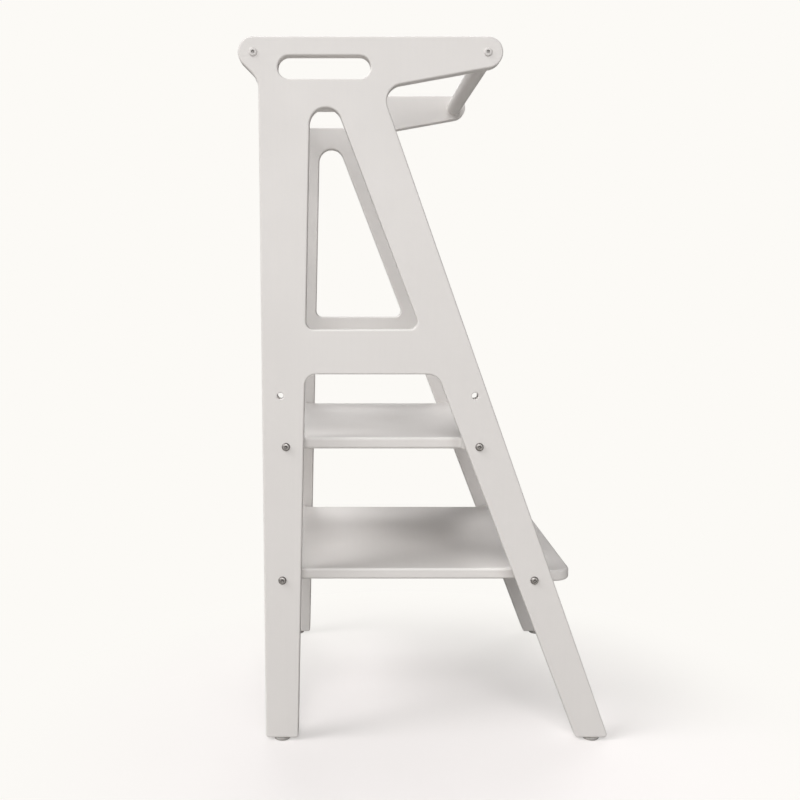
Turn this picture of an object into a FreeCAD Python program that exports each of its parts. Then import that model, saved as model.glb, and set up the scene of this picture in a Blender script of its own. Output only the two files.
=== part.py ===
import FreeCAD, Part
import math
import os

from FreeCAD import Vector

# Toddler kitchen helper stool: two plywood side panels, a standing platform, a lower step and two
# round rails, held by bolts and barrel nuts, on four round glides.
#
# All lengths are millimetres. +Z is up, +X runs from the upright back edge to the step's nose, and
# +Y runs across the stool. The finished stool stands on z = 0, centred in x and y.

# Whole stool
HEIGHT = 900.0
WIDTH = 400.0
PANEL_THICKNESS = 18.0
BOARD_THICKNESS = 15.0

# Side panel outline, measured from its upright back edge
FOOT_DEPTH = 455.0
NECK_BELOW_TOP = 60.0
NECK_DEPTH = 149.5
LEG_WIDTH_AT_FOOT = 43.0
LEG_WIDTH_AT_NECK = 63.0
CROSSBAR_BOTTOM = 489.0
CROSSBAR_WIDTH = 56.5
ARM_SLOPE_DEG = 10.0
LOBE_RADIUS = 18.5
LOBE_NECK_DEG = 45.0
FOOT_CORNER_RADIUS = 4.0
ARM_ROOT_RADIUS = 20.0
LOBE_NECK_RADIUS = 25.0
GAP_FRONT_RADIUS = 20.0
GAP_BACK_RADIUS = 14.5
WINDOW_BELOW_TOP = 83.5
WINDOW_BOTTOM_RADIUS = 10.0
PANEL_EDGE_RADIUS = 2.0

# Handle slot in each side panel
SLOT_LENGTH = 113.0
SLOT_HEIGHT = 27.5
SLOT_BACK = 23.8
SLOT_BELOW_TOP = 22.4

# Top rails
RAIL_DIAMETER = 22.0
REAR_RAIL_X = -6.0
RAIL_SPACING = 285.0

# Standing platform, in the lower of its two places. A bolt's inset is its distance behind the front
# edge of the leg, a nose is what the board has in front of its front bolts, and a landing is the
# distance from a bolt to the recess in the board's end.
PLATFORM_TOP = 403.5
PLATFORM_BACK_BOLT_X = 30.0
PLATFORM_FRONT_BOLT_INSET = 34.75
PLATFORM_NOSE = 15.0
PLATFORM_FRONT_CORNER = 8.0
PLATFORM_REAR_LANDING = 12.0
PLATFORM_FRONT_LANDING = 20.0
PLATFORM_RAISE = 65.5
PLATFORM_SETBACK = 6.5

# Lower step
STEP_TOP = 227.5
STEP_BACK_BOLT_X = 24.0
STEP_FRONT_BOLT_INSET = 24.5
STEP_NOSE = 52.5
STEP_FRONT_CORNER = 22.0
STEP_REAR_LANDING = 14.0
STEP_FRONT_LANDING = 15.5

# Both boards
BOARD_BACK_X = 4.0
BOARD_BACK_CORNER = 6.0
RECESS_DEPTH = 10.0
RECESS_OUTER_RADIUS = 5.0
BOARD_EDGE_RADIUS = 3.5

# Glides under the legs, and their nails
GLIDE_DIAMETER = 22.0
GLIDE_HEIGHT = 4.0
GLIDE_TOP_EDGE = 0.5
GLIDE_BOTTOM_EDGE = 2.0
NAIL_DIAMETER = 2.5
NAIL_LENGTH = 18.0
NAIL_HEAD_DIAMETER = 6.0
NAIL_HEAD_HEIGHT = 1.0
NAIL_HEAD_RECESS = 1.6
NAIL_HEAD_SPACE = 0.5
NAIL_TIP_SPACE = 1.0

# Button-head bolts, barrel nuts and inserts
BOLT_DIAMETER = 6.0
BOLT_TIP_CHAMFER = 0.8
HEAD_DIAMETER = 10.5
HEAD_RIM_HEIGHT = 0.4
BOARD_HEAD_HEIGHT = 3.2
BOARD_HEAD_TOP_DIAMETER = 5.6
BOARD_HEAD_BULGE = 0.8
RAIL_HEAD_HEIGHT = 1.7
RAIL_HEAD_TOP_DIAMETER = 6.6
RAIL_HEAD_BULGE = 0.35
HEX_ACROSS_FLATS = 4.0
HEX_DEPTH = 2.6
BOARD_BOLT_LENGTH = 50.0
RAIL_BOLT_LENGTH = 34.0
BOLT_HOLE_DIAMETER = 7.0
BOLT_HOLE_EDGE = 0.6
SPARE_HOLE_DIAMETER = 8.4
SPARE_HOLE_EDGE = 0.8
BORE_END_SPACE = 5.0
NUT_DIAMETER = 10.0
NUT_LENGTH = 12.0
NUT_FROM_END = 25.0
NUT_SLOT_WIDTH = 1.2
NUT_SLOT_DEPTH = 1.5
INSERT_DIAMETER = 10.0
INSERT_LENGTH = 15.0
FIT_CLEARANCE = 0.1

# Two ends of a run closer than this are one point
JOIN_TOLERANCE = 0.01

# Side of the stool: the sign of y
SIDES = {"left": -1, "right": 1}

# Places that follow from the sizes above
FOOT_Z = GLIDE_HEIGHT
NECK_Z = HEIGHT - NECK_BELOW_TOP
RAIL_Z = HEIGHT - LOBE_RADIUS
INNER_HALF = WIDTH / 2 - PANEL_THICKNESS
PLATFORM_BOLT_Z = PLATFORM_TOP - BOARD_THICKNESS / 2
STEP_BOLT_Z = STEP_TOP - BOARD_THICKNESS / 2
BOARD_HEAD = (BOARD_HEAD_HEIGHT, BOARD_HEAD_TOP_DIAMETER, BOARD_HEAD_BULGE)
RAIL_HEAD = (RAIL_HEAD_HEIGHT, RAIL_HEAD_TOP_DIAMETER, RAIL_HEAD_BULGE)


def front_edge_x(z):
    """Return where the leaning front edge of a side panel is at height z."""
    return FOOT_DEPTH + (NECK_DEPTH - FOOT_DEPTH) * (z - FOOT_Z) / (NECK_Z - FOOT_Z)


PLATFORM_BOLT_X = {
    "rear": PLATFORM_BACK_BOLT_X,
    "front": front_edge_x(PLATFORM_BOLT_Z) - PLATFORM_FRONT_BOLT_INSET,
}
STEP_BOLT_X = {
    "rear": STEP_BACK_BOLT_X,
    "front": front_edge_x(STEP_BOLT_Z) - STEP_FRONT_BOLT_INSET,
}
RAIL_X = {"rear": REAR_RAIL_X, "front": REAR_RAIL_X + RAIL_SPACING}
GLIDE_X = {"rear": LEG_WIDTH_AT_FOOT / 2, "front": FOOT_DEPTH - LEG_WIDTH_AT_FOOT / 2}


def meet(first, second):
    """Return where two lines cross. Each line is (x, z, direction_x, direction_z)."""
    x1, z1, u1, w1 = first
    x2, z2, u2, w2 = second
    share = ((x2 - x1) * w2 - (z2 - z1) * u2) / (u1 * w2 - w1 * u2)
    return x1 + share * u1, z1 + share * w1


def corners_of(lines, radii):
    """Return the corners (x, z, radius) between each line and the next one round the outline."""
    following = lines[1:] + lines[:1]
    return [meet(a, b) + (radius,) for a, b, radius in zip(lines, following, radii)]


def rounded_wire(corners, lift):
    """Return a closed wire of straight runs joined by tangent arcs at the corners.

    Each corner is (a, b, radius) and lift turns a pair (a, b) into a point in space.
    """
    edges = []
    starts = []
    ends = []
    count = len(corners)
    for index, (a, b, radius) in enumerate(corners):
        here = Vector(a, b, 0)
        back = Vector(corners[index - 1][0], corners[index - 1][1], 0) - here
        ahead = Vector(corners[(index + 1) % count][0], corners[(index + 1) % count][1], 0) - here
        back.normalize()
        ahead.normalize()
        half = back.getAngle(ahead) / 2
        reach = radius / math.tan(half)
        middle = back + ahead
        middle.normalize()
        start = here + back * reach
        end = here + ahead * reach
        top = here + middle * (radius / math.sin(half) - radius)
        arc = Part.Arc(*[lift(point.x, point.y) for point in (start, top, end)])
        edges.append(arc.toShape())
        starts.append(start)
        ends.append(end)
    for index in range(count):
        following = (index + 1) % count
        first = lift(ends[index].x, ends[index].y)
        second = lift(starts[following].x, starts[following].y)
        if first.distanceToPoint(second) > JOIN_TOLERANCE:
            edges.append(Part.LineSegment(first, second).toShape())
    return Part.Wire(Part.__sortEdges__(edges))


def upright(x, z):
    """Lift an outline point into the plane y = 0."""
    return Vector(x, 0, z)


def flat(x, y):
    """Lift a plan point into the plane z = 0."""
    return Vector(x, y, 0)


def cylinder(radius, length, start, direction):
    """Return a solid cylinder."""
    return Part.makeCylinder(radius, length, start, direction)


def inner_leg_lines():
    """Return the inner edges of the back leg and the front leg, each a line up the panel."""
    rise = NECK_Z - FOOT_Z
    back_run = LEG_WIDTH_AT_NECK - LEG_WIDTH_AT_FOOT
    front_run = NECK_DEPTH - LEG_WIDTH_AT_NECK - (FOOT_DEPTH - LEG_WIDTH_AT_FOOT)
    back = (LEG_WIDTH_AT_FOOT, FOOT_Z, back_run, rise)
    front = (FOOT_DEPTH - LEG_WIDTH_AT_FOOT, FOOT_Z, front_run, rise)
    return back, front


def panel_outline():
    """Return the outer outline of a side panel, from the top edge round by the front."""
    slope = math.radians(ARM_SLOPE_DEG)
    lobe = math.radians(LOBE_NECK_DEG)
    top = (0, HEIGHT, 1, 0)
    arm_x = RAIL_X["front"] + LOBE_RADIUS * math.sin(slope)
    arm_z = RAIL_Z - LOBE_RADIUS * math.cos(slope)
    arm_under = (arm_x, arm_z, math.cos(slope), math.sin(slope))
    front_edge = (FOOT_DEPTH, FOOT_Z, NECK_DEPTH - FOOT_DEPTH, NECK_Z - FOOT_Z)
    sole = (0, FOOT_Z, 1, 0)
    back_leg, front_leg = inner_leg_lines()
    crossbar = (0, CROSSBAR_BOTTOM, 1, 0)
    back_edge = (0, 0, 0, 1)
    neck_x = REAR_RAIL_X - LOBE_RADIUS * math.sin(lobe)
    neck_z = RAIL_Z - LOBE_RADIUS * math.cos(lobe)
    lobe_neck = (neck_x, neck_z, math.cos(lobe), -math.sin(lobe))
    lines = [top, arm_under, front_edge, sole, front_leg, crossbar, back_leg, sole, back_edge, lobe_neck]
    radii = [
        LOBE_RADIUS,
        ARM_ROOT_RADIUS,
        FOOT_CORNER_RADIUS,
        FOOT_CORNER_RADIUS,
        GAP_FRONT_RADIUS,
        GAP_BACK_RADIUS,
        FOOT_CORNER_RADIUS,
        FOOT_CORNER_RADIUS,
        LOBE_NECK_RADIUS,
        LOBE_RADIUS,
    ]
    return rounded_wire(corners_of(lines, radii), upright)


def window_top_radius(back_leg, front_leg):
    """Return the radius of the arc that touches both legs and has its crown at the window's top."""
    apex_z = meet(back_leg, front_leg)[1]
    back_lean = math.atan2(back_leg[2], back_leg[3])
    front_lean = math.atan2(-front_leg[2], front_leg[3])
    half = (front_lean + back_lean) / 2
    tilt = (front_lean - back_lean) / 2
    drop = apex_z - (HEIGHT - WINDOW_BELOW_TOP)
    return drop * math.sin(half) / (math.cos(tilt) - math.sin(half))


def window_outline():
    """Return the outline of the tall three-sided opening above the crossbar."""
    back_leg, front_leg = inner_leg_lines()
    sill = (0, CROSSBAR_BOTTOM + CROSSBAR_WIDTH, 1, 0)
    top_radius = window_top_radius(back_leg, front_leg)
    radii = [WINDOW_BOTTOM_RADIUS, top_radius, WINDOW_BOTTOM_RADIUS]
    return rounded_wire(corners_of([sill, front_leg, back_leg], radii), upright)


def slot_outline():
    """Return the outline of the handle slot, a run with two half-round ends."""
    radius = SLOT_HEIGHT / 2
    low = HEIGHT - SLOT_BELOW_TOP - SLOT_HEIGHT
    high = HEIGHT - SLOT_BELOW_TOP
    back = SLOT_BACK + radius
    front = SLOT_BACK + SLOT_LENGTH - radius
    middle = (low + high) / 2
    lower = Part.LineSegment(upright(back, low), upright(front, low))
    nose = Part.Arc(upright(front, low), upright(front + radius, middle), upright(front, high))
    upper = Part.LineSegment(upright(front, high), upright(back, high))
    tail = Part.Arc(upright(back, high), upright(back - radius, middle), upright(back, low))
    return Part.Wire([item.toShape() for item in (lower, nose, upper, tail)])


def broken_edge_hole(x, z, diameter, broken):
    """Return the cutter of one hole through a panel, with both its edges broken by the given width."""
    radius = diameter / 2
    axis = Vector(0, 1, 0)
    bore = cylinder(radius, PANEL_THICKNESS, upright(x, z), axis)
    outer = Part.makeCone(radius + broken, radius, broken, upright(x, z), axis)
    far_face = Vector(x, PANEL_THICKNESS, z)
    inner = Part.makeCone(radius + broken, radius, broken, far_face, -axis)
    return bore.fuse([outer, inner])


def panel_holes():
    """Return the cutters of a panel's bolt holes and of the spare holes for the platform's upper place."""
    bolts = [(x, RAIL_Z) for x in RAIL_X.values()]
    bolts += [(x, STEP_BOLT_Z) for x in STEP_BOLT_X.values()]
    bolts += [(x, PLATFORM_BOLT_Z) for x in PLATFORM_BOLT_X.values()]
    spares = [(x - PLATFORM_SETBACK, PLATFORM_BOLT_Z + PLATFORM_RAISE) for x in PLATFORM_BOLT_X.values()]
    holes = [broken_edge_hole(x, z, BOLT_HOLE_DIAMETER, BOLT_HOLE_EDGE) for x, z in bolts]
    holes += [broken_edge_hole(x, z, SPARE_HOLE_DIAMETER, SPARE_HOLE_EDGE) for x, z in spares]
    return holes


def side_panel():
    """Return a side panel that fills y from 0 to the panel thickness."""
    face = Part.Face([panel_outline(), window_outline(), slot_outline()])
    plate = face.extrude(Vector(0, PANEL_THICKNESS, 0))
    rims = [edge for edge in plate.Edges if edge.BoundBox.YLength < PANEL_EDGE_RADIUS]
    plate = plate.makeFillet(PANEL_EDGE_RADIUS, rims)
    holes = panel_holes()
    for x in GLIDE_X.values():
        foot = Vector(x, PANEL_THICKNESS / 2, FOOT_Z)
        depth = NAIL_LENGTH - (GLIDE_HEIGHT - NAIL_HEAD_RECESS) + NAIL_TIP_SPACE
        holes.append(cylinder(NAIL_DIAMETER / 2 + FIT_CLEARANCE, depth, foot, Vector(0, 0, 1)))
    return plate.cut(holes)


def place_panel(panel, side):
    """Return the panel set on its side of the stool, outer face outwards."""
    if side > 0:
        return panel.mirror(Vector(0, PANEL_THICKNESS / 2, 0), Vector(0, 1, 0)).translated(
            Vector(0, INNER_HALF, 0))
    return panel.translated(Vector(0, -WIDTH / 2, 0))


def board_outline(bolt_x, nose, front_corner, rear_landing, front_landing):
    """Return the plan outline of a board whose two ends are recessed between the legs."""
    half = INNER_HALF
    deep = half - RECESS_DEPTH
    inner_radius = RECESS_DEPTH - RECESS_OUTER_RADIUS
    recess_rear = bolt_x["rear"] + rear_landing
    recess_front = bolt_x["front"] - front_landing
    corners = [
        (BOARD_BACK_X, -half, BOARD_BACK_CORNER),
        (recess_rear, -half, RECESS_OUTER_RADIUS),
        (recess_rear, -deep, inner_radius),
        (recess_front, -deep, inner_radius),
        (recess_front, -half, RECESS_OUTER_RADIUS),
        (bolt_x["front"] + nose, -half, front_corner),
    ]
    corners += [(x, -y, radius) for x, y, radius in reversed(corners)]
    return rounded_wire(corners, flat)


def board(outline, top, bolt_x):
    """Return a board with rounded edges, its end bores and the bores of its barrel nuts."""
    bottom = top - BOARD_THICKNESS
    slab = Part.Face(outline).extrude(Vector(0, 0, BOARD_THICKNESS))
    rims = [edge for edge in slab.Edges if edge.BoundBox.ZLength < BOARD_EDGE_RADIUS]
    slab = slab.makeFillet(BOARD_EDGE_RADIUS, rims).translated(Vector(0, 0, bottom))
    middle = top - BOARD_THICKNESS / 2
    bore_depth = BOARD_BOLT_LENGTH - PANEL_THICKNESS + BORE_END_SPACE
    nut_depth = BOARD_THICKNESS / 2 + NUT_LENGTH / 2 + FIT_CLEARANCE
    cutters = []
    for side in SIDES.values():
        for x in bolt_x.values():
            mouth = Vector(x, side * INNER_HALF, middle)
            bore_radius = BOLT_DIAMETER / 2 + 2 * FIT_CLEARANCE
            cutters.append(cylinder(bore_radius, bore_depth, mouth, Vector(0, -side, 0)))
            pocket = Vector(x, side * (INNER_HALF - NUT_FROM_END), bottom)
            nut_radius = NUT_DIAMETER / 2 + FIT_CLEARANCE
            cutters.append(cylinder(nut_radius, nut_depth, pocket, Vector(0, 0, 1)))
    return slab.cut(cutters)


def standing_platform():
    """Return the board that the child stands on."""
    outline = board_outline(
        PLATFORM_BOLT_X, PLATFORM_NOSE, PLATFORM_FRONT_CORNER, PLATFORM_REAR_LANDING, PLATFORM_FRONT_LANDING)
    return board(outline, PLATFORM_TOP, PLATFORM_BOLT_X)


def lower_step():
    """Return the step, whose rounded nose stands out in front of the legs."""
    outline = board_outline(
        STEP_BOLT_X, STEP_NOSE, STEP_FRONT_CORNER, STEP_REAR_LANDING, STEP_FRONT_LANDING)
    return board(outline, STEP_TOP, STEP_BOLT_X)


def top_rail(x):
    """Return a round rail between the panels, with a stepped bore in each end."""
    start = Vector(x, -INNER_HALF, RAIL_Z)
    rail = cylinder(RAIL_DIAMETER / 2, 2 * INNER_HALF, start, Vector(0, 1, 0))
    bore_depth = RAIL_BOLT_LENGTH - PANEL_THICKNESS + BORE_END_SPACE
    cutters = []
    for side in SIDES.values():
        mouth = Vector(x, side * INNER_HALF, RAIL_Z)
        inward = Vector(0, -side, 0)
        cutters.append(cylinder(INSERT_DIAMETER / 2 + FIT_CLEARANCE, INSERT_LENGTH, mouth, inward))
        cutters.append(cylinder(BOLT_DIAMETER / 2 + 2 * FIT_CLEARANCE, bore_depth, mouth, inward))
    return rail.cut(cutters)


def bolt(x, z, side, length, head):
    """Return a button-head bolt that enters the panel on the given side.

    The head is (height, diameter of its flat top, bulge of its dome).
    """
    head_height, top_diameter, head_bulge = head
    inward = Vector(0, -side, 0)
    face = Vector(x, side * WIDTH / 2, z)
    radius = HEAD_DIAMETER / 2
    flat_radius = top_diameter / 2
    shank_radius = BOLT_DIAMETER / 2
    dome_run = radius - flat_radius
    dome_drop = head_height - HEAD_RIM_HEIGHT
    bulge = Vector(dome_drop, 0, dome_run).normalize() * head_bulge
    shoulder = Vector(flat_radius + dome_run / 2, 0, HEAD_RIM_HEIGHT + dome_drop / 2) + bulge
    tip_radius = shank_radius - BOLT_TIP_CHAMFER
    points = {
        "crown": Vector(0, 0, head_height),
        "flat_rim": Vector(flat_radius, 0, head_height),
        "dome_rim": Vector(radius, 0, HEAD_RIM_HEIGHT),
        "seat_rim": Vector(radius, 0, 0),
        "shank_top": Vector(shank_radius, 0, 0),
        "shank_end": Vector(shank_radius, 0, BOLT_TIP_CHAMFER - length),
        "tip_rim": Vector(tip_radius, 0, -length),
        "tip": Vector(0, 0, -length),
    }
    edges = [
        Part.LineSegment(points["crown"], points["flat_rim"]).toShape(),
        Part.Arc(points["flat_rim"], shoulder, points["dome_rim"]).toShape(),
        Part.LineSegment(points["dome_rim"], points["seat_rim"]).toShape(),
        Part.LineSegment(points["seat_rim"], points["shank_top"]).toShape(),
        Part.LineSegment(points["shank_top"], points["shank_end"]).toShape(),
        Part.LineSegment(points["shank_end"], points["tip_rim"]).toShape(),
        Part.LineSegment(points["tip_rim"], points["tip"]).toShape(),
        Part.LineSegment(points["tip"], points["crown"]).toShape(),
    ]
    body = Part.Face(Part.Wire(edges)).revolve(Vector(0, 0, 0), Vector(0, 0, 1), 360)
    corner = HEX_ACROSS_FLATS / math.sqrt(3)
    ring = [Vector(corner * math.cos(math.radians(a)), corner * math.sin(math.radians(a)),
                   head_height - HEX_DEPTH) for a in range(0, 361, 60)]
    socket = Part.Face(Part.makePolygon(ring)).extrude(Vector(0, 0, HEX_DEPTH))
    turn = FreeCAD.Rotation(Vector(0, 0, 1), -inward)
    made = body.cut(socket)
    made.Placement = FreeCAD.Placement(face, turn)
    return made


def barrel_nut(x, z, side):
    """Return an upright barrel nut with its cross hole and the slot in its lower end."""
    foot = Vector(x, side * (INNER_HALF - NUT_FROM_END), z - NUT_LENGTH / 2)
    barrel = cylinder(NUT_DIAMETER / 2, NUT_LENGTH, foot, Vector(0, 0, 1))
    hole_start = Vector(x, foot.y - NUT_DIAMETER, z)
    hole = cylinder(BOLT_DIAMETER / 2 + FIT_CLEARANCE, 2 * NUT_DIAMETER, hole_start, Vector(0, 1, 0))
    slot_corner = Vector(x - NUT_SLOT_WIDTH / 2, foot.y - NUT_DIAMETER, foot.z)
    slot = Part.makeBox(NUT_SLOT_WIDTH, 2 * NUT_DIAMETER, NUT_SLOT_DEPTH, slot_corner)
    return barrel.cut([hole, slot])


def rail_insert(x, side):
    """Return the threaded insert in one end of a rail."""
    mouth = Vector(x, side * INNER_HALF, RAIL_Z)
    inward = Vector(0, -side, 0)
    tube = cylinder(INSERT_DIAMETER / 2, INSERT_LENGTH, mouth, inward)
    return tube.cut(cylinder(BOLT_DIAMETER / 2 + FIT_CLEARANCE, INSERT_LENGTH, mouth, inward))


def glide(x, side):
    """Return the round glide under one foot, with the recessed hole for its nail."""
    centre_y = side * (WIDTH / 2 - PANEL_THICKNESS / 2)
    up = Vector(0, 0, 1)
    disc = cylinder(GLIDE_DIAMETER / 2, GLIDE_HEIGHT, Vector(x, centre_y, 0), up)
    rims = {"top": [], "bottom": []}
    for edge in disc.Edges:
        if edge.BoundBox.ZLength < GLIDE_HEIGHT / 2:
            rims["top" if edge.BoundBox.ZMin > GLIDE_HEIGHT / 2 else "bottom"].append(edge)
    disc = disc.makeFillet(GLIDE_BOTTOM_EDGE, rims["bottom"])
    top = [edge for edge in disc.Edges
           if edge.BoundBox.ZMin > GLIDE_HEIGHT - GLIDE_TOP_EDGE and edge.BoundBox.ZLength < GLIDE_TOP_EDGE]
    disc = disc.makeChamfer(GLIDE_TOP_EDGE, top)
    hole = cylinder(NAIL_DIAMETER / 2 + FIT_CLEARANCE, GLIDE_HEIGHT, Vector(x, centre_y, 0), up)
    recess_radius = NAIL_HEAD_DIAMETER / 2 + NAIL_HEAD_SPACE
    recess = cylinder(recess_radius, NAIL_HEAD_RECESS, Vector(x, centre_y, 0), up)
    return disc.cut([hole, recess])


def glide_nail(x, side):
    """Return the nail that holds a glide, its head inside the glide's recess."""
    centre_y = side * (WIDTH / 2 - PANEL_THICKNESS / 2)
    up = Vector(0, 0, 1)
    head_z = NAIL_HEAD_RECESS - NAIL_HEAD_HEIGHT
    head = cylinder(NAIL_HEAD_DIAMETER / 2, NAIL_HEAD_HEIGHT, Vector(x, centre_y, head_z), up)
    shank = cylinder(NAIL_DIAMETER / 2, NAIL_LENGTH, Vector(x, centre_y, NAIL_HEAD_RECESS), up)
    return head.fuse(shank).removeSplitter()


def all_nodes():
    """Return every piece of the stool by name, in the panel's own x."""
    panel = side_panel()
    nodes = {
        "left_side_panel": place_panel(panel, SIDES["left"]),
        "right_side_panel": place_panel(panel, SIDES["right"]),
        "standing_platform": standing_platform(),
        "lower_step": lower_step(),
        "front_top_rail": top_rail(RAIL_X["front"]),
        "rear_top_rail": top_rail(RAIL_X["rear"]),
    }
    for side_name, side in SIDES.items():
        for end in ("front", "rear"):
            spot = end + "_" + side_name
            nodes["glide_" + spot] = glide(GLIDE_X[end], side)
            nodes["glide_nail_" + spot] = glide_nail(GLIDE_X[end], side)
            nodes["platform_bolt_" + spot] = bolt(
                PLATFORM_BOLT_X[end], PLATFORM_BOLT_Z, side, BOARD_BOLT_LENGTH, BOARD_HEAD)
            nodes["platform_barrel_nut_" + spot] = barrel_nut(PLATFORM_BOLT_X[end], PLATFORM_BOLT_Z, side)
            nodes["step_bolt_" + spot] = bolt(
                STEP_BOLT_X[end], STEP_BOLT_Z, side, BOARD_BOLT_LENGTH, BOARD_HEAD)
            nodes["step_barrel_nut_" + spot] = barrel_nut(STEP_BOLT_X[end], STEP_BOLT_Z, side)
            nodes["rail_bolt_" + spot] = bolt(
                RAIL_X[end], RAIL_Z, side, RAIL_BOLT_LENGTH, RAIL_HEAD)
            nodes["rail_insert_" + spot] = rail_insert(RAIL_X[end], side)
    return nodes


def main():
    """Centre the stool on the origin and write one file per piece."""
    nodes = all_nodes()
    panel_box = nodes["left_side_panel"].optimalBoundingBox(False)
    centre_x = (panel_box.XMin + panel_box.XMax) / 2
    os.makedirs("parts", exist_ok=True)
    for name, shape in nodes.items():
        placed = shape.translated(Vector(-centre_x, 0, 0))
        placed.exportStep("parts/" + name + ".step")
        print(name, "solids", len(placed.Solids), "valid", placed.isValid(), "volume", round(placed.Volume))


if __name__ == "__main__":
    main()
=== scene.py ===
import logging
import math
from collections.abc import Callable
from dataclasses import dataclass, field
from enum import Enum

import bpy
from mathutils import Matrix, Vector

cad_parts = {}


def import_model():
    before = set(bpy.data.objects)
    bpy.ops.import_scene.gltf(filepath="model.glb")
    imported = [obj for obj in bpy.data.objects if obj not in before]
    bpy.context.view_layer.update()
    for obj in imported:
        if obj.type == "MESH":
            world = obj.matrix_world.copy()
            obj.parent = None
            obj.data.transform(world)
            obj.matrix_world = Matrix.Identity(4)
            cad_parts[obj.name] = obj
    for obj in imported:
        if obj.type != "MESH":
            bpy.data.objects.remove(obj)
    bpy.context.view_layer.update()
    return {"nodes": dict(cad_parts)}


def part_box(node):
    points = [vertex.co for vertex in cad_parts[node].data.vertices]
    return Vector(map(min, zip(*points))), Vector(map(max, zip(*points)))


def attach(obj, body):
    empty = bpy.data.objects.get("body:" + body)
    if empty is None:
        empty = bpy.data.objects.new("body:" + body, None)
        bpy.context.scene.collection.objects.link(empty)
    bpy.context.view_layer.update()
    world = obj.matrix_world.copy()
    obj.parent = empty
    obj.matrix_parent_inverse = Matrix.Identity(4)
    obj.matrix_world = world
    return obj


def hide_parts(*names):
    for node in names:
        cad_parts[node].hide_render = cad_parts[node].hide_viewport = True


# Looks of a toddler kitchen helper stool in warm light grey paint: painted birch plywood sides and
# boards, painted beech rails, zinc plated button-head bolts and grey glides, on a plain pale floor.

log = logging.getLogger("helper_stool")

MM = 0.001

# A face whose normal has at least this much of an axis faces along it.
FACES_ALONG = 0.9
# A hexagon looks the same after this turn.
HEXAGON_TURN_DEG = 60
# Nearly all values of a noise pattern lie between these two.
NOISE_LOW = 0.3
NOISE_HIGH = 0.7


class Grain(Enum):
    """The way the wood grain of a piece runs, as the index of an axis."""

    ALONG_X = 0
    ALONG_Y = 1
    ALONG_Z = 2


class Side(Enum):
    """One side of the stool, as the sign of y."""

    LEFT = -1
    RIGHT = 1


class End(Enum):
    """One end of the stool, by the word its node names use."""

    FRONT = "front"
    REAR = "rear"


def linear(hex_colour: str) -> tuple[float, float, float, float]:
    """Turn an sRGB hex colour into linear red, green, blue and alpha.

    Args:
        hex_colour: The colour as "#RRGGBB".

    Returns:
        The four linear values, with alpha at 1.
    """
    values = []
    for start in (1, 3, 5):
        share = int(hex_colour[start:start + 2], 16) / 255
        values.append(share / 12.92 if share <= 0.04045 else ((share + 0.055) / 1.055) ** 2.4)
    return values[0], values[1], values[2], 1.0


def per_mm(size_mm: float) -> float:
    """Return the texture scale at which one feature is size_mm across."""
    return 1.0 / (size_mm * MM)


def add_node(
    tree: bpy.types.NodeTree,
    kind: str,
    inputs: dict[str | int, object] | None = None,
    **settings: object,
) -> bpy.types.Node:
    """Add one shader node.

    Args:
        tree: The node tree of the material or world.
        kind: The node's type, such as "ShaderNodeBump".
        inputs: For each input by name or index, a value or the output socket that feeds it.
        **settings: The node's own properties.

    Returns:
        The new node.
    """
    node = tree.nodes.new(kind)
    for name, value in settings.items():
        setattr(node, name, value)
    for key, value in (inputs or {}).items():
        if isinstance(value, bpy.types.NodeSocket):
            tree.links.new(value, node.inputs[key])
        else:
            node.inputs[key].default_value = value
    return node


def two_tones(
    tree: bpy.types.NodeTree,
    share: bpy.types.NodeSocket,
    colours: tuple[str, str],
    places: tuple[float, float] = (0.0, 1.0),
) -> bpy.types.NodeSocket:
    """Blend from one colour to another.

    Args:
        tree: The material's tree.
        share: The value that picks the place between the two.
        colours: The first and the last colour as "#RRGGBB".
        places: The values at which the first colour ends and the last one starts.

    Returns:
        The blended colour.
    """
    ramp = add_node(tree, "ShaderNodeValToRGB", {"Fac": share})
    for stop, colour, place in zip(ramp.color_ramp.elements, colours, places):
        stop.position = place
        stop.color = linear(colour)
    return ramp.outputs["Color"]


def new_material(name: str) -> tuple[bpy.types.Material, bpy.types.NodeTree]:
    """Make an empty node material.

    Args:
        name: The material's name.

    Returns:
        The material and its tree.
    """
    material = bpy.data.materials.new(name)
    material.use_nodes = True
    material.node_tree.nodes.clear()
    return material, material.node_tree


def finish_surface(tree: bpy.types.NodeTree, inputs: dict[str | int, object]) -> None:
    """End a material's tree in one Principled shader.

    Args:
        tree: The material's tree.
        inputs: Values and sockets for the shader's inputs.
    """
    shader = add_node(tree, "ShaderNodeBsdfPrincipled", inputs)
    add_node(tree, "ShaderNodeOutputMaterial", {"Surface": shader.outputs["BSDF"]})


def deselect_all() -> None:
    """Leave edit mode with nothing selected."""
    if bpy.context.mode != "OBJECT":
        bpy.ops.object.mode_set(mode="OBJECT")
    bpy.ops.object.select_all(action="DESELECT")


def pick_faces(piece: bpy.types.Object, wanted: Callable[[Vector, Vector], bool]) -> None:
    """Select some of a piece's faces and leave it in edit mode.

    Args:
        piece: The active object.
        wanted: Says whether a face is picked, from its centre and its normal.
    """
    bpy.ops.object.mode_set(mode="EDIT")
    bpy.ops.mesh.select_mode(type="FACE")
    bpy.ops.mesh.select_all(action="DESELECT")
    bpy.ops.object.mode_set(mode="OBJECT")
    for face in piece.data.polygons:
        face.select = wanted(face.center, face.normal)
    bpy.ops.object.mode_set(mode="EDIT")


def draw_out(rise_mm: float, share: float) -> None:
    """Extrude the picked faces along z, and widen or narrow them round the z axis.

    Args:
        rise_mm: How far they move.
        share: Their new width over the old one.
    """
    bpy.ops.mesh.extrude_region_move(TRANSFORM_OT_translate={"value": (0.0, 0.0, rise_mm * MM)})
    bpy.ops.transform.resize(value=(share, share, 1.0), center_override=(0.0, 0.0, 0.0))


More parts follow.
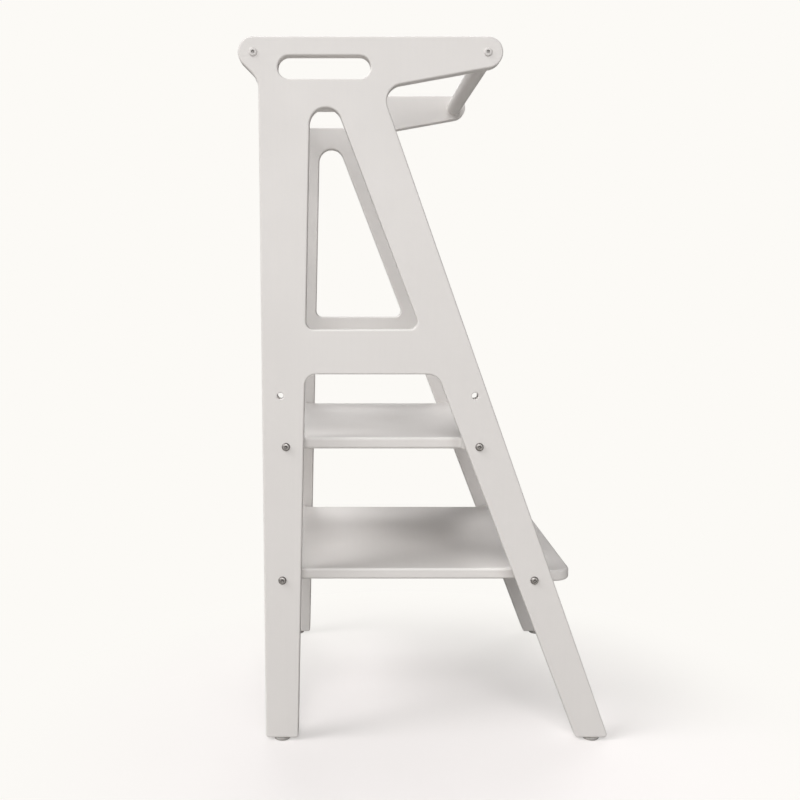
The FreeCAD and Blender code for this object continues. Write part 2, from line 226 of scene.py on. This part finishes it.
@dataclass(frozen=True)
class PaintOnWood:
    """Sprayed satin furniture paint over sanded wood."""

    name: str
    colour: str
    shaded_colour: str
    grain: Grain
    # The axis across the sheet, on plywood alone.
    sheet_axis: Grain | None = None
    ply_mm: float = 1.4
    ply_depth_mm: float = 0.02
    ply_strength: float = 0.5
    # How far a face leans out of the cut edge where the ply lines are full, and where they are gone.
    ply_full_at: float = 0.05
    ply_gone_at: float = 0.35
    grain_length_mm: float = 90.0
    grain_width_mm: float = 3.0
    grain_depth_mm: float = 0.05
    grain_strength: float = 0.5
    # Orange peel of sprayed paint is about 1 mm; it is drawn at 4 mm so that it shows.
    peel_mm: float = 4.0
    peel_depth_mm: float = 0.03
    peel_strength: float = 0.4
    # Over a hand's breadth, the paint film is a little thicker in some places than in others.
    film_mm: float = 140.0
    # How much the grain counts in the tone, beside the film.
    grain_in_tone: float = 0.35
    tone_low: float = 0.4
    tone_high: float = 1.0
    roughness: float = 0.48
    roughness_spread: float = 0.05
    ior: float = 1.5

    def build(self) -> bpy.types.Material:
        """Make the material. The grain shows through the paint, and ply lines show on cut edges.

        Returns:
            The material.
        """
        material, tree = new_material(self.name)
        place = add_node(tree, "ShaderNodeTexCoord").outputs["Object"]
        stretch = [per_mm(self.grain_width_mm)] * 3
        stretch[self.grain.value] = per_mm(self.grain_length_mm)
        run = add_node(tree, "ShaderNodeMapping", {"Vector": place, "Scale": stretch}).outputs["Vector"]
        fibres = add_node(
            tree, "ShaderNodeTexNoise", {"Vector": run, "Scale": 1.0, "Detail": 5.0, "Distortion": 0.4}
        ).outputs["Fac"]
        peel = add_node(
            tree, "ShaderNodeTexNoise", {"Vector": place, "Scale": per_mm(self.peel_mm), "Detail": 2.0}
        ).outputs["Fac"]
        film = add_node(
            tree, "ShaderNodeTexNoise", {"Vector": place, "Scale": per_mm(self.film_mm), "Detail": 3.0}
        ).outputs["Fac"]
        gloss = add_node(
            tree, "ShaderNodeMapRange",
            {"Value": film, "From Min": NOISE_LOW, "From Max": NOISE_HIGH,
             "To Min": self.roughness - self.roughness_spread,
             "To Max": self.roughness + self.roughness_spread},
        ).outputs["Result"]
        relief = add_node(
            tree, "ShaderNodeBump",
            {"Height": fibres, "Distance": self.grain_depth_mm * MM, "Strength": self.grain_strength},
        ).outputs["Normal"]
        relief = add_node(
            tree, "ShaderNodeBump",
            {"Height": peel, "Distance": self.peel_depth_mm * MM, "Strength": self.peel_strength,
             "Normal": relief},
        ).outputs["Normal"]
        if self.sheet_axis is not None:
            relief = self.ply_lines(tree, place, relief)
        base = self.paint_tones(tree, fibres, film)
        finish_surface(tree, {"Base Color": base, "Roughness": gloss, "Normal": relief, "IOR": self.ior})
        return material

    def paint_tones(
        self, tree: bpy.types.NodeTree, fibres: bpy.types.NodeSocket, film: bpy.types.NodeSocket
    ) -> bpy.types.NodeSocket:
        """Mix the paint's two tones by the grain under it and the thickness of its film.

        Args:
            tree: The material's tree.
            fibres: The grain pattern.
            film: The film pattern.

        Returns:
            The paint's colour.
        """
        tone = add_node(
            tree, "ShaderNodeMath", {0: fibres, 1: self.grain_in_tone, 2: film}, operation="MULTIPLY_ADD"
        ).outputs[0]
        share = add_node(
            tree, "ShaderNodeMapRange",
            {"Value": tone, "From Min": self.tone_low, "From Max": self.tone_high},
        ).outputs["Result"]
        return two_tones(tree, share, (self.colour, self.shaded_colour))

    def ply_lines(
        self, tree: bpy.types.NodeTree, place: bpy.types.NodeSocket, relief: bpy.types.NodeSocket
    ) -> bpy.types.NodeSocket:
        """Show the sheet's layers faintly on its cut edges.

        Args:
            tree: The material's tree.
            place: Object coordinates.
            relief: The normal so far.

        Returns:
            The normal with the layers added.
        """
        axis = "XYZ"[self.sheet_axis.value]
        across = add_node(tree, "ShaderNodeSeparateXYZ", {0: place}).outputs[axis]
        turn = add_node(
            tree, "ShaderNodeMath", {0: across, 1: math.tau * per_mm(2 * self.ply_mm)},
            operation="MULTIPLY",
        ).outputs[0]
        wave = add_node(tree, "ShaderNodeMath", {0: turn}, operation="SINE").outputs[0]
        facing = add_node(tree, "ShaderNodeNewGeometry").outputs["Normal"]
        toward = add_node(tree, "ShaderNodeSeparateXYZ", {0: facing}).outputs[axis]
        level = add_node(tree, "ShaderNodeMath", {0: toward}, operation="ABSOLUTE").outputs[0]
        # The lines are full where a face lies square to the sheet, and fade out over its broken edges.
        on_edge = add_node(
            tree, "ShaderNodeMapRange",
            {"Value": level, "From Min": self.ply_gone_at, "From Max": self.ply_full_at,
             "To Min": 0.0, "To Max": 1.0},
        ).outputs["Result"]
        height = add_node(
            tree, "ShaderNodeMath", {0: wave, 1: on_edge}, operation="MULTIPLY"
        ).outputs[0]
        return add_node(
            tree, "ShaderNodeBump",
            {"Height": height, "Distance": self.ply_depth_mm * MM, "Strength": self.ply_strength,
             "Normal": relief},
        ).outputs["Normal"]


@dataclass(frozen=True)
class PlatedSteel:
    """Plated, drawn or turned metal of small hardware."""

    name: str
    colour: str
    worn_colour: str
    roughness: float = 0.3
    smoother_by: float = 0.06
    rougher_by: float = 0.08
    mottle_mm: float = 2.5
    mottle_low: float = 0.35
    mottle_high: float = 0.7
    mark_width_mm: float = 0.4
    mark_length_mm: float = 6.0
    mark_depth_mm: float = 0.02
    mark_strength: float = 0.35

    def build(self) -> bpy.types.Material:
        """Make the material, with the cloudy tone of plating and fine turning marks.

        Returns:
            The material.
        """
        material, tree = new_material(self.name)
        place = add_node(tree, "ShaderNodeTexCoord").outputs["Object"]
        cloud = add_node(
            tree, "ShaderNodeTexNoise", {"Vector": place, "Scale": per_mm(self.mottle_mm), "Detail": 4.0}
        ).outputs["Fac"]
        stretch = (per_mm(self.mark_width_mm), per_mm(self.mark_length_mm), per_mm(self.mark_width_mm))
        run = add_node(tree, "ShaderNodeMapping", {"Vector": place, "Scale": stretch}).outputs["Vector"]
        marks = add_node(
            tree, "ShaderNodeTexNoise", {"Vector": run, "Scale": 1.0, "Detail": 2.0}
        ).outputs["Fac"]
        base = two_tones(
            tree, cloud, (self.colour, self.worn_colour), (self.mottle_low, self.mottle_high))
        gloss = add_node(
            tree, "ShaderNodeMapRange",
            {"Value": cloud, "From Min": NOISE_LOW, "From Max": NOISE_HIGH,
             "To Min": self.roughness - self.smoother_by, "To Max": self.roughness + self.rougher_by},
        ).outputs["Result"]
        relief = add_node(
            tree, "ShaderNodeBump",
            {"Height": marks, "Distance": self.mark_depth_mm * MM, "Strength": self.mark_strength},
        ).outputs["Normal"]
        finish_surface(
            tree, {"Base Color": base, "Roughness": gloss, "Normal": relief, "Metallic": 1.0})
        return material


@dataclass(frozen=True)
class MouldedPlastic:
    """Injection moulded plastic with a fine spark-eroded texture."""

    name: str
    colour: str
    scuffed_colour: str
    roughness: float = 0.35
    rougher_by: float = 0.2
    scuff_mm: float = 3.0
    scuff_low: float = 0.5
    scuff_high: float = 0.75
    rougher_from: float = 0.4
    spark_mm: float = 0.6
    spark_depth_mm: float = 0.015
    spark_strength: float = 0.4
    milk_share: float = 0.08
    milk_depth_mm: float = 2.0
    ior: float = 1.49

    def build(self) -> bpy.types.Material:
        """Make the material, a little milky, with faint scuffs from the floor.

        Returns:
            The material.
        """
        material, tree = new_material(self.name)
        place = add_node(tree, "ShaderNodeTexCoord").outputs["Object"]
        scuff = add_node(
            tree, "ShaderNodeTexNoise",
            {"Vector": place, "Scale": per_mm(self.scuff_mm), "Detail": 5.0, "Distortion": 1.2},
        ).outputs["Fac"]
        spark = add_node(
            tree, "ShaderNodeTexNoise", {"Vector": place, "Scale": per_mm(self.spark_mm), "Detail": 1.0}
        ).outputs["Fac"]
        base = two_tones(
            tree, scuff, (self.colour, self.scuffed_colour), (self.scuff_low, self.scuff_high))
        gloss = add_node(
            tree, "ShaderNodeMapRange",
            {"Value": scuff, "From Min": self.rougher_from, "From Max": NOISE_HIGH,
             "To Min": self.roughness, "To Max": self.roughness + self.rougher_by},
        ).outputs["Result"]
        relief = add_node(
            tree, "ShaderNodeBump",
            {"Height": spark, "Distance": self.spark_depth_mm * MM, "Strength": self.spark_strength},
        ).outputs["Normal"]
        finish_surface(
            tree,
            {"Base Color": base, "Roughness": gloss, "Normal": relief, "IOR": self.ior,
             "Subsurface Weight": self.milk_share, "Subsurface Scale": self.milk_depth_mm * MM})
        return material


class Finishes:
    """Every finish of the stool, each built once."""

    def __init__(self) -> None:
        """Build the materials."""
        # Satin paint, sprayed and sanded between coats: an even warm grey with a soft sheen, in
        # which the birch's grain is only just felt.
        self.side_paint = PaintOnWood(
            "satin_paint_on_birch_plywood_sides", "#DDD9D6", "#D9D5D2", Grain.ALONG_Z, Grain.ALONG_Y
        ).build()
        self.board_paint = PaintOnWood(
            "satin_paint_on_birch_plywood_boards", "#DDD9D6", "#D9D5D2", Grain.ALONG_Y, Grain.ALONG_Z
        ).build()
        # Turned beech has a shorter, closer grain than birch plywood, so it takes paint smoother.
        self.rail_paint = PaintOnWood(
            "satin_paint_on_beech_rails", "#DEDAD7", "#DAD6D3", Grain.ALONG_Y,
            grain_length_mm=60.0, grain_width_mm=1.8).build()
        # The same paint on the rail bolts' heads: no wood grain runs under it, and its peel is finer. It
        # is a little darker than the paint on the wood: painted shade that dims the light the domed head
        # catches.
        self.head_paint_with_painted_shade = PaintOnWood(
            "satin_paint_on_bolt_heads", "#D3CFCC", "#CECAC7", Grain.ALONG_Y,
            grain_length_mm=4.0, grain_width_mm=4.0, peel_mm=1.2).build()
        # Barrel-plated zinc: a dull, cloudy grey shine.
        self.zinc = PlatedSteel("zinc_plated_steel_bolts", "#BCB8B4", "#A4A09C", 0.4).build()
        # The flank and the socket of each head are coloured darker than its top: painted shade for the
        # dark rim and the dark socket.
        self.painted_shade_zinc = PlatedSteel(
            "zinc_plated_steel_in_shade", "#8E8A87", "#767270", 0.5).build()
        # Plated barrel nuts stay clean inside the boards, so they are paler than the bolts.
        self.nut_zinc = PlatedSteel(
            "zinc_plated_steel_barrel_nuts", "#C2BFB8", "#A9A59D", 0.36).build()
        # Drawn wire: bright, with faint lengthwise marks.
        self.wire = PlatedSteel("bright_steel_nails", "#AEADAB", "#96948F", 0.32).build()
        # Turned brass, not polished: a warm yellow with tool marks.
        self.brass = PlatedSteel("turned_brass_inserts", "#C9A85F", "#B4924B", 0.34).build()
        # Moulded nylon: a smooth, slightly milky grey that gets darker and duller where it scuffs.
        self.glide_plastic = MouldedPlastic(
            "moulded_grey_nylon_glides", "#A6A29E", "#8E8A86", 0.14).build()


@dataclass
class DressedNodes:
    """CAD pieces that keep their own shape and get a finish."""

    title: str
    names: list[str]
    material: bpy.types.Material

    def dress(self, nodes: dict[str, bpy.types.Object]) -> list[bpy.types.Object]:
        """Give each piece its finish.

        Args:
            nodes: The frame's pieces by name.

        Returns:
            The pieces dressed.
        """
        dressed = []
        for name in self.names:
            piece = nodes[name]
            if not piece.material_slots:
                piece.data.materials.append(self.material)
            for place in piece.material_slots:
                place.material = self.material
            dressed.append(piece)
        log.info("%s: %d dressed", self.title, len(dressed))
        return dressed


@dataclass
class SocketBolts:
    """Button-head bolts with a hexagon socket, with the broken edges and drill point of real ones.

    All sizes are in millimetres.
    """

    title: str
    names: list[str]
    slot: str
    finish: bpy.types.Material
    shade_finish: bpy.types.Material
    head_height: float
    flat_diameter: float
    bulge: float
    length: float
    # From this distance off the axis the head has its darker finish of painted shade, as its socket has.
    shade_from: float = 100.0
    head_diameter: float = 10.5
    rim_height: float = 0.4
    shank_diameter: float = 6.0
    tip_chamfer: float = 0.8
    across_flats: float = 4.0
    socket_depth: float = 2.6
    drill_point: float = 0.5
    # What is left of the socket's width at the bottom of its drill point.
    drill_tip_share: float = 0.1
    edge_break: float = 0.12
    edge_segments: int = 2
    # Edges that turn by more than this are broken, and those that turn by less look smooth.
    sharp_from_deg: float = 35.0
    smooth_to_deg: float = 30.0
    # Bolts stop at different turns when they are drawn tight.
    turn_step_deg: int = 17
    facets: int = 48
    dome_rings: int = 6

    def dome_profile(self) -> list[tuple[float, float]]:
        """Work out the rings of the dome, from its rim to its flat top.

        Returns:
            The radius and height of each ring.
        """
        run = (self.flat_diameter - self.head_diameter) / 2
        rise = self.head_height - self.rim_height
        chord = math.hypot(run, rise)
        rings = []
        for index in range(1, self.dome_rings + 1):
            share = index / self.dome_rings
            # The dome stands off the straight line between rim and top by a parabola.
            proud = self.bulge * 4 * share * (1 - share)
            radius = self.head_diameter / 2 + run * share + proud * rise / chord
            height = self.rim_height + rise * share - proud * run / chord
            rings.append((radius, height))
        return rings

    def build_body(self) -> bpy.types.Object:
        """Model a bolt along z with its seat at z = 0, without its socket.

        Returns:
            The bolt.
        """
        deselect_all()
        bpy.ops.mesh.primitive_cylinder_add(
            vertices=self.facets, radius=self.head_diameter / 2 * MM, depth=self.rim_height * MM,
            location=(0.0, 0.0, self.rim_height / 2 * MM))
        body = bpy.context.object
        bpy.ops.object.transform_apply(location=True, rotation=True, scale=True)
        pick_faces(body, lambda centre, normal: normal.z > FACES_ALONG)
        radius = self.head_diameter / 2
        height = self.rim_height
        for next_radius, next_height in self.dome_profile():
            draw_out(next_height - height, next_radius / radius)
            radius, height = next_radius, next_height
        pick_faces(body, lambda centre, normal: normal.z < -FACES_ALONG)
        draw_out(0.0, self.shank_diameter / self.head_diameter)
        draw_out(self.tip_chamfer - self.length, 1.0)
        draw_out(-self.tip_chamfer, 1 - 2 * self.tip_chamfer / self.shank_diameter)
        deselect_all()
        return body

    def build_cutter(self) -> bpy.types.Object:
        """Model the hexagon that cuts the socket, with its drill point.

        Returns:
            The hexagon.
        """
        deselect_all()
        bpy.ops.mesh.primitive_cylinder_add(
            vertices=6, radius=self.across_flats / math.sqrt(3) * MM,
            depth=2 * self.socket_depth * MM, location=(0.0, 0.0, self.head_height * MM))
        cutter = bpy.context.object
        bpy.ops.object.transform_apply(location=True, rotation=True, scale=True)
        pick_faces(cutter, lambda centre, normal: normal.z < -FACES_ALONG)
        draw_out(-self.drill_point, self.drill_tip_share)
        deselect_all()
        return cutter

    def build_pattern(self) -> bpy.types.Object:
        """Cut the socket, break the edges and dress the bolt that the others are copied from.

        Returns:
            The finished bolt.
        """
        body = self.build_body()
        cutter = self.build_cutter()
        deselect_all()
        bpy.context.view_layer.objects.active = body
        body.select_set(True)
        socket = body.modifiers.new("hexagon_socket", "BOOLEAN")
        socket.operation = "DIFFERENCE"
        socket.solver = "EXACT"
        socket.object = cutter
        bpy.ops.object.modifier_apply(modifier=socket.name)
        bpy.data.objects.remove(cutter)
        edges = body.modifiers.new("broken_edges", "BEVEL")
        edges.width = self.edge_break * MM
        edges.segments = self.edge_segments
        edges.limit_method = "ANGLE"
        edges.angle_limit = math.radians(self.sharp_from_deg)
        bpy.ops.object.modifier_apply(modifier=edges.name)
        bpy.ops.object.shade_smooth_by_angle(angle=math.radians(self.smooth_to_deg))
        self.dress(body)
        return body

    def dress(self, body: bpy.types.Object) -> None:
        """Give the bolt its finish, and its socket and flank their darker finish of painted shade.

        Args:
            body: The bolt, along z with its seat at z = 0.
        """
        body.data.materials.append(self.finish)
        body.data.materials.append(self.shade_finish)
        socket_reach = self.across_flats / math.sqrt(3)
        socket_top = self.head_height - 2 * self.edge_break
        for face in body.data.polygons:
            away = math.hypot(face.center.x, face.center.y) / MM
            height = face.center.z / MM
            # The socket and the flank take the darker finish: painted shade.
            in_socket = away < socket_reach and 0 < height < socket_top
            on_flank = height > 0 and away > self.shade_from
            face.material_index = 1 if in_socket or on_flank else 0

    def build(self) -> list[bpy.types.Object]:
        """Set one bolt in the place of each named node.

        Returns:
            The bolts, each with its own mesh.
        """
        pattern = self.build_pattern()
        made = []
        for index, name in enumerate(self.names):
            low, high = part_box(name)
            side = Side.LEFT if name.endswith("left") else Side.RIGHT
            crown = low.y if side is Side.LEFT else high.y
            seat = crown - side.value * self.head_height * MM
            own_turn_deg = self.turn_step_deg * index % HEXAGON_TURN_DEG
            own_turn = Matrix.Rotation(math.radians(own_turn_deg), 4, "Z")
            outward = Matrix.Rotation(math.radians(-90 * side.value), 4, "X")
            deselect_all()
            bpy.context.view_layer.objects.active = pattern
            pattern.select_set(True)
            bpy.ops.object.duplicate(linked=False)
            copy = bpy.context.object
            copy.name = name + "_detailed"
            copy.location = ((low.x + high.x) / 2, seat, (low.z + high.z) / 2)
            copy.rotation_euler = (outward @ own_turn).to_euler()
            bpy.ops.object.transform_apply(location=True, rotation=True, scale=True)
            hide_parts(name)
            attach(copy, "root")
            made.append(copy)
        bpy.data.objects.remove(pattern)
        log.info("%s: %d built", self.title, len(made))
        return made


@dataclass(frozen=True)
class FarLight:
    """One large soft light so far off that its light comes from one direction."""

    name: str
    # Height above the floor, and turn to the right of the camera's side, in degrees.
    rise_deg: float
    turn_deg: float
    strength: float
    spread_deg: float = 24.0

    def build(self) -> bpy.types.Object:
        """Set up the light and aim it at the stool.

        Returns:
            The light.
        """
        data = bpy.data.lights.new(self.name, "SUN")
        data.energy = self.strength
        data.angle = math.radians(self.spread_deg)
        lamp = bpy.data.objects.new(self.name, data)
        bpy.context.scene.collection.objects.link(lamp)
        rise = math.radians(self.rise_deg)
        turn = math.radians(self.turn_deg)
        toward = Vector(
            (math.sin(turn) * math.cos(rise), -math.cos(turn) * math.cos(rise), math.sin(rise)))
        lamp.rotation_euler = (-toward).to_track_quat("-Z", "Y").to_euler()
        return lamp


@dataclass(frozen=True)
class SoftLight:
    """One white studio soft box, aimed at a point. Sizes are in metres and power in watts."""

    name: str
    place: tuple[float, float, float]
    aim: tuple[float, float, float]
    width: float
    height: float
    power: float

    def build(self) -> bpy.types.Object:
        """Set up the light and aim it.

        Returns:
            The light.
        """
        data = bpy.data.lights.new(self.name, "AREA")
        data.shape = "RECTANGLE"
        data.size = self.width
        data.size_y = self.height
        data.energy = self.power
        lamp = bpy.data.objects.new(self.name, data)
        bpy.context.scene.collection.objects.link(lamp)
        lamp.location = self.place
        toward = Vector(self.aim) - Vector(self.place)
        lamp.rotation_euler = toward.to_track_quat("-Z", "Y").to_euler()
        return lamp


@dataclass
class Studio:
    """The pale floor, the lights and the camera. Places and spans are in metres."""

    camera_place: tuple[float, float, float] = (-0.1039, -1.3948, 0.6106)
    camera_pitch_deg: float = 82.65
    # The lens in picture points, the picture's width, and the column of the lens axis.
    focal_px: float = 950.0
    picture_px: float = 800.0
    axis_px: float = 349.03
    sensor_mm: float = 36.0
    view_reach: float = 60.0
    floor_span: float = 16.0
    # The floor round this point takes the shadows, lightened by a share of glow that is painted light,
    # and further off it turns into the backdrop.
    shadow_centre: tuple[float, float] = (0.0, -0.19)
    lit_radius: float = 0.15
    fade_radius: float = 0.6
    near_glow: float = 0.36
    backdrop: str = "#FCFAF6"
    floor_tone: str = "#E6E1E1"
    floor_roughness: float = 0.5
    bounce_tone: str = "#A8A6A3"
    ambient_tone: str = "#FFFFFF"
    ambient: float = 0.02
    lights: list[FarLight | SoftLight] = field(default_factory=lambda: [
        FarLight("window_left_high", 45.0, -73.0, 1.55),
        FarLight("window_left_low", 25.0, -75.0, 0.44),
        FarLight("window_front_left", 25.0, -45.0, 0.34),
        FarLight("wall_behind_camera", 45.0, 0.0, 0.7),
        FarLight("wall_behind_camera_low", 25.0, -10.0, 0.32),
        FarLight("wall_front_right_low", 8.0, 30.0, 0.42),
        FarLight("wall_behind_stool", 65.0, 180.0, 0.96),
        FarLight("wall_behind_stool_low", 25.0, -165.0, 0.43),
        SoftLight("box_beside_camera", (-0.154, -2.6, 1.15), (0.0, 0.0, 0.4), 0.6, 0.6, 13.2),
    ])

    def build_camera(self) -> bpy.types.Object:
        """Set the camera at the photograph's place and angle.

        Returns:
            The camera.
        """
        data = bpy.data.cameras.new("photo_camera")
        data.sensor_width = self.sensor_mm
        data.lens = self.focal_px / self.picture_px * self.sensor_mm
        data.shift_x = (self.picture_px / 2 - self.axis_px) / self.picture_px
        data.clip_end = self.view_reach
        camera = bpy.data.objects.new("photo_camera", data)
        bpy.context.scene.collection.objects.link(camera)
        camera.location = self.camera_place
        camera.rotation_euler = (math.radians(self.camera_pitch_deg), 0.0, 0.0)
        bpy.context.scene.camera = camera
        return camera

    def build_world(self) -> None:
        """Light the scene evenly from all round, and show the backdrop's own tone to the camera."""
        world = bpy.data.worlds.new("studio_air")
        bpy.context.scene.world = world
        world.use_nodes = True
        tree = world.node_tree
        tree.nodes.clear()
        seen = add_node(
            tree, "ShaderNodeBackground", {"Color": linear(self.backdrop), "Strength": 1.0}
        ).outputs[0]
        light = add_node(
            tree, "ShaderNodeBackground",
            {"Color": linear(self.ambient_tone), "Strength": self.ambient},
        ).outputs[0]
        ray = add_node(tree, "ShaderNodeLightPath").outputs["Is Camera Ray"]
        mix = add_node(tree, "ShaderNodeMixShader", {0: ray, 1: light, 2: seen}).outputs[0]
        add_node(tree, "ShaderNodeOutputWorld", {"Surface": mix})

    def build_floor(self) -> bpy.types.Object:
        """Lay the floor: mostly matt near the stool, with a share of glow that paints light into its
        shadows, and fading into the backdrop's tone further out.

        Returns:
            The floor.
        """
        deselect_all()
        bpy.ops.mesh.primitive_plane_add(size=self.floor_span, location=(0.0, 0.0, 0.0))
        floor = bpy.context.object
        floor.name = "studio_floor"
        material, tree = new_material("matt_studio_paper")
        place = add_node(tree, "ShaderNodeTexCoord").outputs["Object"]
        centre = (*self.shadow_centre, 0.0)
        reach = add_node(
            tree, "ShaderNodeVectorMath", {0: place, 1: centre}, operation="DISTANCE"
        ).outputs["Value"]
        far = add_node(
            tree, "ShaderNodeMapRange",
            {"Value": reach, "From Min": self.lit_radius, "From Max": self.fade_radius,
             "To Min": self.near_glow, "To Max": 1.0},
            interpolation_type="SMOOTHSTEP",
        ).outputs["Result"]
        matt = add_node(
            tree, "ShaderNodeBsdfDiffuse",
            {"Color": linear(self.floor_tone), "Roughness": self.floor_roughness},
        ).outputs[0]
        # The glow is painted light near the stool, where it lightens the cast shadows; further out it is
        # the backdrop's tone.
        glow = add_node(
            tree, "ShaderNodeEmission", {"Color": linear(self.backdrop), "Strength": 1.0}
        ).outputs[0]
        seen = add_node(tree, "ShaderNodeMixShader", {0: far, 1: matt, 2: glow}).outputs[0]
        # The stool's undersides are dark, so the floor throws back less light than it shows.
        bounce = add_node(
            tree, "ShaderNodeBsdfDiffuse", {"Color": linear(self.bounce_tone)}
        ).outputs[0]
        ray = add_node(tree, "ShaderNodeLightPath").outputs["Is Camera Ray"]
        mix = add_node(tree, "ShaderNodeMixShader", {0: ray, 1: bounce, 2: seen}).outputs[0]
        add_node(tree, "ShaderNodeOutputMaterial", {"Surface": mix})
        floor.data.materials.append(material)
        return floor

    def build(self) -> None:
        """Set up the whole studio."""
        bpy.context.scene.view_settings.view_transform = "Standard"
        self.build_camera()
        self.build_world()
        self.build_floor()
        for light in self.lights:
            light.build()
        log.info("studio: %d lights", len(self.lights))


def spots(prefix: str) -> list[str]:
    """Return the node names of a piece that sits at both ends of both sides."""
    return [f"{prefix}_{end.value}_{side.name.lower()}" for side in Side for end in End]


def main() -> None:
    """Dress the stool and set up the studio."""
    logging.basicConfig(level=logging.INFO, format="%(name)s: %(message)s")
    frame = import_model()
    nodes = frame["nodes"]
    Studio().build()
    looks = Finishes()
    nuts = spots("platform_barrel_nut") + spots("step_barrel_nut")
    groups = [
        DressedNodes("side panels", ["left_side_panel", "right_side_panel"], looks.side_paint),
        DressedNodes("boards", ["standing_platform", "lower_step"], looks.board_paint),
        DressedNodes("rails", ["front_top_rail", "rear_top_rail"], looks.rail_paint),
        DressedNodes("glides", spots("glide"), looks.glide_plastic),
        DressedNodes("glide nails", spots("glide_nail"), looks.wire),
        DressedNodes("barrel nuts", nuts, looks.nut_zinc),
        DressedNodes("rail inserts", spots("rail_insert"), looks.brass),
    ]
    for group in groups:
        group.dress(nodes)
    SocketBolts(
        "board bolts", spots("platform_bolt") + spots("step_bolt"), "bolt_steel",
        looks.zinc, looks.painted_shade_zinc,
        head_height=3.2, flat_diameter=5.6, bulge=0.8, length=50.0, shade_from=4.2).build()
    SocketBolts(
        "rail bolts", spots("rail_bolt"), "painted_bolt_heads", looks.head_paint_with_painted_shade, looks.painted_shade_zinc,
        head_height=1.7, flat_diameter=6.6, bulge=0.35, length=34.0).build()


if __name__ == "__main__":
    main()
